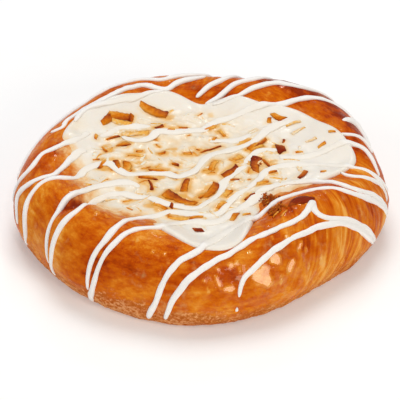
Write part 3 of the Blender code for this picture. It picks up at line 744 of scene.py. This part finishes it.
def over_shreds(x, y, shreds, spread):
    """1 over each shred, fading out over a spread in mm all round it."""
    total = np.zeros(np.shape(x))
    for shred_x, shred_y, heading, length, width, _ in shreds:
        angle = math.radians(heading)
        near = (np.abs(x - shred_x) < length) & (np.abs(y - shred_y) < length)
        dx, dy = x[near] - shred_x, y[near] - shred_y
        along = np.maximum(np.abs(dx * math.cos(angle) + dy * math.sin(angle)) - length / 2, 0)
        across = np.maximum(np.abs(dy * math.cos(angle) - dx * math.sin(angle)) - width / 2, 0)
        here = np.exp(-(along**2 + across**2) / spread**2)
        total[near] = np.maximum(total[near], here)
    return total


CREAM_LEVEL = 23.6
CREAM_WAVES = ((0.21, 0.17, 0.5, 0.25), (0.21, -0.17, 1.3, 0.25), (0.33, -0.28, 0.0, 0.25))
SHORE_RUN = 8.0
LIP_HEIGHT = 1.1
LIP_RUN = 1.6
FILM_THICKNESS = 0.3
CREAM_COLUMNS = 560
CREAM_ROWS = 96
LIP_ROWS = 8
# How far the shell's rim is tucked under its lip, and how its underside is drawn in.
EDGE_TUCK = 0.6
UNDER_SHARE = 0.9
UNDER_DEPTH = 3.5


def cream_at(x, y):
    """Points of the cream's surface: a rounded lip on the dough, then a wavy level."""
    bearing = np.arctan2(y, x)
    radius = around(CREAM_RADII, bearing)
    inside = np.maximum(radius - np.hypot(x, y), 0)
    shore = dough_at(radius * np.cos(bearing), radius * np.sin(bearing))[..., 2]
    level = np.full(np.shape(x), CREAM_LEVEL)
    for along_x, along_y, phase, rise in CREAM_WAVES:
        level = level + rise * np.sin(along_x * x + along_y * y + phase)
    near = np.exp(-((inside / SHORE_RUN) ** 2))
    lip = LIP_HEIGHT * np.sqrt(1 - (1 - np.minimum(inside / LIP_RUN, 1)) ** 2)
    lip = lip * (1 - film_zone(x, y))
    height = near * shore + (1 - near) * level + lip
    film = film_zone(x, y) * (1 - smooth_rise(inside, FILM_RUN, FILM_RUN + 6))
    thickness = FILM_THICKNESS * (3 * smooth_rise(inside, 0, FILM_RUN) - 1.5)
    height = (1 - film) * height + film * (dough_at(x, y)[..., 2] + thickness)
    return np.stack([x + 0 * height, y + 0 * height, height], -1)


def heart(x, y):
    """1 over the middle where the coconut was strewn."""
    return 1 - smooth_rise(np.hypot(x + 3, y - 1), 26, 40)


def cream_relief(x, y):
    spot = np.stack([x, y, 0 * x], -1)
    ripple = 0.30 * crumb(spot / 7, 31) + 0.14 * crumb(spot / 3, 32)
    sunk = over_shreds(x, y, sunk_shreds, 0.9)
    pieces = 0.15 * sunk + 0.1 * over_shreds(x, y, TOASTED_SHREDS, 1.0)
    return ripple + pieces - 0.15 * heart(x, y) * (1 - sunk)


def cream_top(x, y):
    """Points of the cream with its ripples, which die out at its edge."""
    points = cream_at(x, y)
    points[..., 2] += cream_relief(x, y) * smooth_rise(inside_cream(x, y), 0, 3)
    return points


bearings = np.arange(CREAM_COLUMNS) / CREAM_COLUMNS * math.tau
east, north = np.cos(bearings), np.sin(bearings)
outline = around(CREAM_RADII, bearings)
under = bare_dough(outline * UNDER_SHARE * east, outline * UNDER_SHARE * north)
under[:, 2] -= UNDER_DEPTH
at_edge = outline * east, outline * north
edge = cream_at(*at_edge)
edge[:, 2] -= EDGE_TUCK
rings = [under, edge]
still = np.zeros(CREAM_COLUMNS)
milk = [1 - film_zone(*at_edge) + milk_depth(*at_edge)] * 2
amber, tan = [still, still], [still, still]
insets = np.linspace(0, 1, LIP_ROWS)[1:] ** 2 * LIP_RUN
shares = 1 - np.linspace(0, 1, CREAM_ROWS)[1:-1]
reaches = [outline - inset for inset in insets] + [(outline - LIP_RUN) * share for share in shares]
for reach in reaches:
    x, y = reach * east, reach * north
    rings.append(cream_top(x, y))
    milk.append(1 - film_zone(x, y) + milk_depth(x, y))
    spot = np.stack([x, y, 0 * x], -1)
    patchy = 0.88 + 0.14 * crumb(spot / 5, 51) + 0.08 * crumb(spot / 2, 52)
    gaps = (1 - 0.15 * over_shreds(x, y, sunk_shreds, 0.5)) * np.clip(patchy, 0, 1)
    left_more = 0.65 - 0.11 * smooth_rise(x, -10, 20)
    # Painted glow: the cream is drawn orange round each toasted shred, for the coconut's stain in the
    # glaze and for light let through the shreds into their shade.
    stain_and_glow = 0.36 * over_shreds(x, y, TOASTED_SHREDS, 1.0) + 0.18 * over_shreds(x, y, TOASTED_SHREDS, 2.6)
    strewn = heart(x, y) ** 0.6
    amber.append(np.clip(stain_and_glow * (0.5 + 0.5 * strewn) + left_more * gaps * strewn, 0, 1.2))
    tan.append(over_shreds(x, y, tan_shreds, 0.7))
painted = {"milk": milk, "amber": amber, "tan": tan}
cream = shell_piece("cream_filling", rings, painted)
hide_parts("cream")


def translucent(*radius):
    """A little light let through, as far in metres for red, green and blue."""
    return {"Subsurface_Weight": 0.1, "Subsurface_Radius": radius, "Subsurface_Scale": 1.0}


milky = Finish("milky_cream")
blotch = milky.mottle(0.007, 4, 0.6)
fleck = milky.mottle(0.0022, 3, 0.6)
# The amber stain of the middle and the painted glow round the toasted shreds set the cream's colour.
stain_and_glow = milky.painted("amber") + milky.painted("tan") * 0.35 + (fleck - 0.5) * 0.35
body = milky.shades(
    stain_and_glow.between(0.1, 1.15),
    (0.0, (0.85, 0.795, 0.715)),
    (0.4, (0.855, 0.725, 0.55)),
    (0.75, (0.83, 0.57, 0.29)),
    (1.0, (0.78, 0.40, 0.09)),
)
over_dough = seen_through_film(milky, blotch, (0.66, 0.19, 0.020))
milky.dress(
    cream,
    Base_Color=milky.mix(milky.painted("milk").between(0.72, 1.0), over_dough, body),
    Roughness=0.36,
    **translucent(0.004, 0.003, 0.002),
    Coat_Weight=0.16,
    Coat_Roughness=0.08,
    Normal=milky.bump(fleck + 0.4 * milky.mottle(0.0008, 2), 0.00018, 0.6),
)


# The coconut: thin strips cut from the nut and strewn on the cream. Those that
# stayed on top are toasted from straw to dark brown, those that sank in it
# stayed pale, and two heaps of broken pieces lie beside the bay.
SHRED_STEP = 0.8
HEAP_SPREAD = 0.47
STRAW_SHARE = 0.06
HEAP_GAP = 1.5


def joined_piece(name, parts, painted_name):
    """One mesh from many parts, each its points, its faces and one painted value a point."""
    points, faces, painted, start = [], [], [], 0
    for part_points, part_faces, values in parts:
        points.append(part_points)
        faces += [tuple(start + k for k in face) for face in part_faces]
        painted.append(values)
        start += len(part_points)
    mesh = bpy.data.meshes.new(name)
    mesh.from_pydata((np.concatenate(points) - BOX_MIDDLE) * MM, [], faces)
    layer = mesh.attributes.new(painted_name, "FLOAT", "POINT")
    layer.data.foreach_set("value", np.concatenate(painted).astype(np.float32))
    return placed(name, mesh)


def tube_faces(ring_count, sides):
    faces = []
    for r in range(ring_count - 1):
        for c in range(sides):
            d = (c + 1) % sides
            faces.append((r * sides + c, (r + 1) * sides + c, (r + 1) * sides + d, r * sides + d))
    faces.append(tuple(range(sides)))
    faces.append(tuple(reversed(range((ring_count - 1) * sides, ring_count * sides))))
    return faces


def shred(piece, surface, arch, twist, lift):
    """One strip of coconut: a thin bent ribbon with broken edges, lying on a surface."""
    x, y, heading, length, width, toast = piece
    steps = max(3, round(length / SHRED_STEP))
    angle = math.radians(heading)
    along = np.array([math.cos(angle), math.sin(angle)])
    across = np.array([-along[1], along[0]])
    bend = rng.uniform(-0.1, 0.1) * length
    skew = rng.uniform(-0.25, 0.25) * width
    raised = rng.choice((-1, 1))
    first_turn = raised * rng.uniform(0.05, 0.25) * min(1, 1.4 / width)
    narrowing = rng.uniform(-0.55, 0.55)
    darker_end = rng.choice((-1, 1))
    spots, rises, values = [], [], []
    for k in range(steps + 1):
        share = k / steps - 0.5
        curve = 1 - (2 * share) ** 2
        middle = np.array([x, y]) + along * length * share + across * bend * curve
        turn = first_turn + twist * share
        for out, up in SHRED_CUT:
            half = out * width / 2 * (1 + narrowing * share) * rng.uniform(0.85, 1.08)
            spots.append(middle + across * half * math.cos(turn) + along * skew * out)
            rises.append(lift + up + (arch + 0.1) * curve - 0.1 + half * math.sin(turn))
            burnt = 0.24 * share * darker_end + 0.14 * max(0, 2 * share * darker_end) ** 3
            across_it = 1 + 0.24 * out * raised - 0.1 * abs(out)
            values.append((toast + burnt * min(1, 2 * toast)) * across_it + rng.uniform(-0.05, 0.05))
    x, y = np.array(spots).T
    points = surface(x, y)
    points[:, 2] += rises
    return points, tube_faces(steps + 1, len(SHRED_CUT)), np.array(values)


def chunk(x, y, size, height, toast):
    """One broken crumb of coconut: a skewed block."""
    turn = rng.uniform(0, math.pi)
    points = []
    for up in (-1, 1):
        for k in range(4):
            corner = turn + k * math.pi / 2 + rng.uniform(-0.2, 0.2)
            reach = size * rng.uniform(0.5, 0.65)
            place = x + reach * math.cos(corner), y + reach * math.sin(corner)
            points.append((*place, height + up * size * rng.uniform(0.25, 0.5)))
    return np.array(points), tube_faces(2, 4), np.full(8, toast)


toasted_parts = []
for piece in TOASTED_SHREDS:
    arch = 0.02 * piece[3] * rng.uniform(0.2, 1.3)
    toasted_parts.append(shred(piece, cream_top, arch, rng.uniform(-0.3, 0.3), 0.26))
for piece in tan_shreds[:SHOWN_TAN_SHREDS]:
    toasted_parts.append(shred(piece, cream_top, 0, rng.uniform(-0.3, 0.3), rng.uniform(0, 0.15)))
for piece in SHREDS_ON_DOUGH:
    toasted_parts.append(shred(piece, dough_at, 0.0, 0.05, 0.4))
crumb_parts = []
for middle_x, middle_y, along_x, along_y, count, toast in CHUNKS:
    for _ in range(count):
        x = rng.gauss(middle_x, along_x * HEAP_SPREAD)
        y = rng.gauss(middle_y, along_y * HEAP_SPREAD)
        if distance_to_path(x, y, BETWEEN_HEAPS) < HEAP_GAP:
            continue
        inside = inside_cream(np.array([x]), np.array([y]))[0] > 0
        ground = (cream_at if inside else dough_at)(np.array([x]), np.array([y]))[0, 2]
        colour = 0.35 if rng.random() < STRAW_SHARE else toast + rng.uniform(-0.12, 0.12)
        height = ground + rng.uniform(0.0, 0.6)
        crumb_parts.append(chunk(x, y, rng.uniform(0.45, 0.8), height, colour))
pale_parts = [
    shred(piece, cream_top, rng.uniform(0, 0.2), rng.uniform(-0.3, 0.3), rng.uniform(-0.2, 0.1))
    for piece in sunk_shreds[:SHOWN_SUNK_SHREDS]
]
toasted = joined_piece("toasted_coconut", toasted_parts, "toast")
sunk = joined_piece("pale_coconut", pale_parts, "toast")
crumbs = joined_piece("broken_coconut", crumb_parts, "toast")

fibre = Finish("coconut_fibre")
streak = fibre.mottle(0.0009, 3)
level = fibre.painted("toast") * 1.15 + (streak - 0.5) * 0.4
fibre.dress(
    toasted,
    Base_Color=fibre.shades(
        level,
        (0.0, (0.86, 0.79, 0.66)),
        (0.2, (0.84, 0.46, 0.10)),
        (0.5, (0.66, 0.19, 0.005)),
        (0.75, (0.42, 0.082, 0.008)),
        (1.0, (0.22, 0.020, 0.003)),
    ),
    Roughness=0.5,
    Specular_IOR_Level=0.08,
    **translucent(0.0015, 0.0008, 0.0004),
    Normal=fibre.bump(streak, 0.00015, 0.7),
)
sunk.data.materials.append(fibre.material)
crumbs.data.materials.append(fibre.material)

# The icing: thick white sugar icing piped in one go, back and forth from the
# lower left to the upper right, so that its lines run off the edge and sag a little.
ICING_HALF_WIDTH = 1.0
ICING_WIDER_ON_CREAM = 0.4
ICING_HEIGHT = 0.72
ICING_ROOT = 0.9
ICING_MELTED = 0.72
ICING_STEP = 0.7
ICING_SIDES = 14
ICING_TIP = 2.4
ICING_TAPER = 7
BLOB_SWELLING = 0.45
BLOB_SPREAD = 2.0
# Each line is a run of places in mm: x, y, x, y and so on.
ICING_LINES = (
    (-37.1, 18.8, -39.8, 14.7, -42.2, 12.3, -44.8, 10.6, -47.7, 8.2, -51.3, 5.1, -53, 2, -54.3, -0.8,
     -56, -2.2, -61.5, -3.4, -64, -4),
    (-49.5, 18, -45.8, 19.5, -44.5, 23.8, -42.2, 26.2, -38.8, 29.8, -35.5, 32.2, -31.5, 35.8, -28.5, 39,
     -24.2, 43.2, -20, 46, -15, 45, -11.5, 45.2, -8.2, 48.2, -3.8, 50.2, 2, 52),
    (-42.5, 22, -40.7, 26.1, -38.7, 28.5, -35.7, 30.2, -30.7, 31.9, -25.7, 34.6, -20.7, 38.2,
     -16.7, 41.5, -12.3, 42.6),
    (-37.5, 9, -40.4, 7.4, -43.6, 3, -46, -3.5, -48, -8, -50.4, -9, -54.2, -9.1, -57, -8.4, -58.8, -9,
     -60.6, -13.9, -62.5, -14.4),
    (-64, -21, -61, -20.8, -58.4, -20.3, -55.6, -16.1, -54, -14, -52, -12.7, -48.5, -10.6, -43.9, -9.4,
     -41.7, -7.6, -40.3, -4.7, -38.2, -0.2, -35.4, 1.4, -32.2, 1.6, -29.4, 0.4, -27.4, -1.8,
     -25.2, -3.9, -22.3, -5.2, -19, -4.5, -12, -3.7, -9.2, -5.2, -6.9, -6.3, -4.6, -4.9, -2.2, -2.6,
     0.1, 1.4, 2.5, 5.8, 4.8, 7.6, 8.2, 8.5, 11, 10.2, 16.3, 13.7, 19.5, 17, 23, 22, 26.5, 25.2,
     32.3, 25.6),
    (-52.7, -35.7, -50.6, -34.3, -48.2, -30.2, -46.8, -28, -44.2, -22.8, -39.7, -18.2, -36.3, -14.1,
     -32.9, -11.7, -29.2, -10.1, -25.5, -9.6, -22.2, -10.5, -19.8, -12.4),
    (-55, -39.5, -51.7, -37.2, -47.9, -36, -45.4, -33.6, -40.8, -31, -38.6, -29.8, -36.8, -25,
     -34.8, -19, -31.6, -16.4, -28.4, -15.6, -25.3, -15.7, -22, -17.2, -18.4, -18.2, -15.1, -20,
     -12.8, -22.3, -7.2, -23.4, -3.5, -24.3, -0.8, -24.1, 1, -22.2, 5.2, -16.9, 6.6, -13.6, 7.3, -9.8,
     8.9, -7, 12.3, -1.7, 15.3, 0.9),
    (-38.5, -51, -34.8, -46.7, -32.1, -44.3, -28.5, -42.3, -25.9, -39.5, -21.8, -34, -17.3, -30.5,
     -13.6, -29.6, -11.8, -28, -9.5, -26.4, -5.8, -26.6, -3.5, -28, 0.9, -29.3, 4.1, -28.6, 6.4, -26.6,
     8.3, -22.5, 10.5, -18.7, 13, -15.7, 15.4, -13.2, 18.8, -8.1, 21.6, -3.2, 25.5, -0.1, 29.2, 0.7,
     34.8, 0.6, 41, 0.4, 45.5, -1.6, 49.3, -2, 52.5, -1.8, 56.1, -1.8, 59, -0.6, 63, 1),
    (-43.5, -55.5, -40, -52.8, -35.1, -50.2, -31.7, -47.7, -28.8, -45.7, -23.7, -43.2, -20.2, -42,
     -16.2, -41, -12.5, -40.2, -10.4, -37.5, -8.1, -34.3, -3.5, -32.8, 1, -33.4, 4.7, -32.8, 7.4, -30.7,
     9.3, -27.6, 12.5, -24.8, 14.8, -22.4, 17.2, -19.5, 20.3, -14.8, 24.2, -12.2, 28, -10.6, 32.2, -9.6,
     36.9, -9.6, 40.5, -10.8, 44, -13.6, 47, -15, 50, -14.4, 53.3, -12.4, 56.5, -10.4, 61, -7.8,
     65.5, -6),
    (-20.8, -67.5, -18.2, -63.5, -14.9, -60.2, -11.5, -56, -8, -53.5, -5.7, -52, -1.1, -50.1,
     1.2, -48.2, 4.4, -43.8, 7.5, -39.9, 10.8, -36.8, 14.5, -34.5, 17.4, -30.2, 20, -26.9, 23, -23.8,
     25.6, -21.4, 32.7, -19.2, 36.5, -18.2, 40.2, -18, 44.4, -17.9, 47.6, -17.4, 51.3, -15.6,
     55.5, -12.8, 59.1, -10.2, 62, -8.4, 65.5, -6.8),
    (-13.6, -68, -11.6, -63.9, -9.7, -60.6, -6.3, -58.1, -4.2, -56.5, 0.5, -54.2, 4.3, -52, 8.2, -50,
     12, -47.5, 15.1, -45.1, 19.7, -42.2, 23.2, -39.6, 27.3, -36.3, 30.8, -33.4, 34.7, -28,
     35.6, -25.6),
    (35.4, -26, 35, -28.5, 35.7, -29.8, 37.4, -30.2, 40, -29.4, 43.8, -27.5, 47.5, -25.7, 51.2, -24,
     55.1, -21.9, 58.8, -20.2, 62.5, -18.8, 65.5, -17.6),
    (12.2, -59.2, 12.3, -57, 13.3, -54.2, 15.8, -51.8, 18, -49.5, 21.2, -46.4, 24.7, -43.3, 28.3, -39.8,
     32, -36.8, 36, -33.5, 40.1, -30.7, 44.5, -28.1, 48.2, -26.5, 52, -24.8, 56.6, -22.5, 61, -20.4,
     64.8, -18.8),
    (12, -60.7, 12.1, -62.2, 12.2, -63.6),
    (46.4, 22.8, 48.3, 24.6, 50.2, 25.4, 52, 23.4, 53.6, 19, 54.8, 12),
    (46.2, 14.1, 49.3, 15, 52, 15.2, 54, 13.5, 55.5, 10.5),
    (45.4, -5, 47.9, -7, 50.3, -7.2, 53, -5.7, 58.1, -3.2, 60.5, -3, 62, -5),
    (-34.2, 17.3, -31, 19.2, -27.7, 23, -24.9, 24.3, -20.5, 24.5, -16.7, 23.7),
    (-26.7, 19.4, -24.8, 17.4, -21.4, 15.6, -18, 16.2, -16.1, 17.7, -14.8, 19.7, -12.3, 20.3,
     -8.5, 20.3, -4.7, 21.5, -1.8, 22.4, 0.6, 22.6, 2.5, 25.1, 5, 27.3, 8.3, 28.4, 13.6, 30.4,
     16.5, 31.8, 20, 33.2, 23.6, 34.3, 28.5, 35.5, 33.6, 37, 38.7, 37.6, 43, 36.5, 47, 34.5, 50.5, 32,
     54, 29, 59, 27),
    (2.5, 15.3, 5.8, 16.4, 11.5, 15.7, 14.5, 17.1, 17, 19.1),
    (14, 2, 19, 9.5, 26, 10),
    (25.4, 5.8, 30, 5, 33.3, 5.1, 37, 6.4, 41, 7.6, 44.3, 8.8, 47.7, 10, 51.3, 9.9, 53.2, 9, 54.8, 6.9,
     56.1, 4, 57.5, 0),
    (-2, 42, 3, 46.5, 9.5, 50, 17, 57),
    (1, 39, 6, 41, 12, 45.5, 19.5, 47, 29, 53),
    (3.5, 36.5, 10.5, 38, 17.5, 41.5, 25.5, 43.5, 34, 42.5, 43, 43.5, 50, 44),
    (-60.5, 2.5, -56, 12, -51.8, 20, -47.5, 25, -43.5, 30.3, -39.5, 34.2, -35.8, 38.2, -32.8, 40.5,
     -30.2, 43, -27.5, 45.6, -24, 48.6, -20, 50, -15.8, 49.5, -12.5, 50, -7.2, 52, 0, 54, 6, 58),
)
# Where the icing bag stood still for a moment and left a blob.
ICING_BLOBS = ((48.6, 24.8), (50.5, 25), (26, 5.7), (35.3, -26.4), (34.9, -28.2))


def covered_surface(x, y):
    """Points of what the icing lands on: cream inside its outline, dough outside."""
    return np.where((inside_cream(x, y) > 0)[..., None], cream_top(x, y), dough_at(x, y))


def smooth_covered(x, y):
    """The same without relief, for directions."""
    return np.where((inside_cream(x, y) > 0)[..., None], cream_at(x, y), bare_dough(x, y))


def smooth_path(points, step):
    """Evenly spaced positions along a smooth line through the points."""
    points = np.reshape(np.array(points, float), (-1, 2))
    ends = np.vstack([2 * points[0] - points[1], points, 2 * points[-1] - points[-2]])
    t = np.linspace(0, 1, 17)[:-1, None]
    runs = [smooth_between(*four, t) for four in zip(ends, ends[1:], ends[2:], ends[3:])]
    line = np.vstack(runs + [points[-1:]])
    run = np.concatenate([[0], np.cumsum(np.linalg.norm(np.diff(line, axis=0), axis=1))])
    marks = np.linspace(0, run[-1], max(3, round(run[-1] / step)) + 1)
    return np.stack([np.interp(marks, run, line[:, k]) for k in (0, 1)], -1), marks


def eased(values, reach):
    """Each row averaged with its neighbours, as icing spans small dips."""
    weights = np.hanning(2 * reach + 3)[1:-1]
    weights /= weights.sum()
    padded = np.concatenate([values[:1].repeat(reach, 0), values, values[-1:].repeat(reach, 0)])
    return np.stack([np.convolve(padded[:, k], weights, "valid") for k in range(values.shape[1])], -1)


def piped_line(points, seed):
    """One line of icing with its swellings and its drawn-out ends."""
    path, marks = smooth_path(points, ICING_STEP)
    x, y = path[:, 0], path[:, 1]
    middles = eased(covered_surface(x, y), 2)
    middles[:, 2] = np.maximum(middles[:, 2], eased(middles, 6)[:, 2])
    normals = eased(surface_normal(smooth_covered, x, y), 2)
    ahead = np.gradient(middles, axis=0)
    side = np.cross(ahead, normals)
    side /= np.linalg.norm(side, axis=1, keepdims=True)
    up = np.cross(side, ahead)
    up /= np.linalg.norm(up, axis=1, keepdims=True)
    left = np.minimum(marks, marks[-1] - marks)
    end = np.sqrt(np.clip(1 - (1 - np.minimum(left / ICING_TIP, 1)) ** 2, 0.01, 1))
    spots = np.stack([marks / 5.0, 0 * marks + seed * 3.7, 0 * marks], -1)
    on_cream = smooth_rise(inside_cream(x, y), 0, 3.5)
    end = end * (0.62 + 0.38 * smooth_rise(left, 0, ICING_TAPER))
    size = end * (1 + (0.2 + 0.15 * on_cream) * crumb(spots, 41) + 0.1 * crumb(spots * 3, 42))
    size = size * (1 + ICING_WIDER_ON_CREAM * on_cream)
    for blob_x, blob_y in ICING_BLOBS:
        far = (x - blob_x) ** 2 + (y - blob_y) ** 2
        size = size + BLOB_SWELLING * np.exp(-far / BLOB_SPREAD**2)
    wander = 0.16 * crumb(spots * 1.7, 43)
    rings = []
    for k in range(ICING_SIDES):
        turn = k / ICING_SIDES * math.tau
        out, rise = math.cos(turn), math.sin(turn)
        flatter = abs(rise) ** 0.7 * (1 if rise > 0 else -1)
        tall = (ICING_HEIGHT if rise > 0 else ICING_ROOT) * flatter
        rings.append(
            middles
            + side * (ICING_HALF_WIDTH * out * size + wander)[:, None]
            + up * (tall * size * (1 - ICING_MELTED * on_cream))[:, None]
        )
    shape = np.stack(rings, 1).reshape(-1, 3)
    return shape, tube_faces(len(marks), ICING_SIDES), on_cream.repeat(ICING_SIDES)


icing_parts = [piped_line(line, k) for k, line in enumerate(ICING_LINES)]
icing = joined_piece("piped_icing", icing_parts, "on_cream")
sugar = Finish("white_icing")
cloud = sugar.mottle(0.004, 2)
sugar.dress(
    icing,
    Base_Color=sugar.mix(
        sugar.painted("on_cream") * (0.35 + cloud * 0.6),
        sugar.mix(cloud, (0.87, 0.845, 0.82), (0.91, 0.89, 0.87)),
        (0.87, 0.80, 0.69),
    ),
    Roughness=0.5,
    Specular_IOR_Level=0.3,
    **translucent(0.002, 0.002, 0.002),
    Normal=sugar.bump(sugar.mottle(0.0012, 2), 0.00008, 0.5),
)
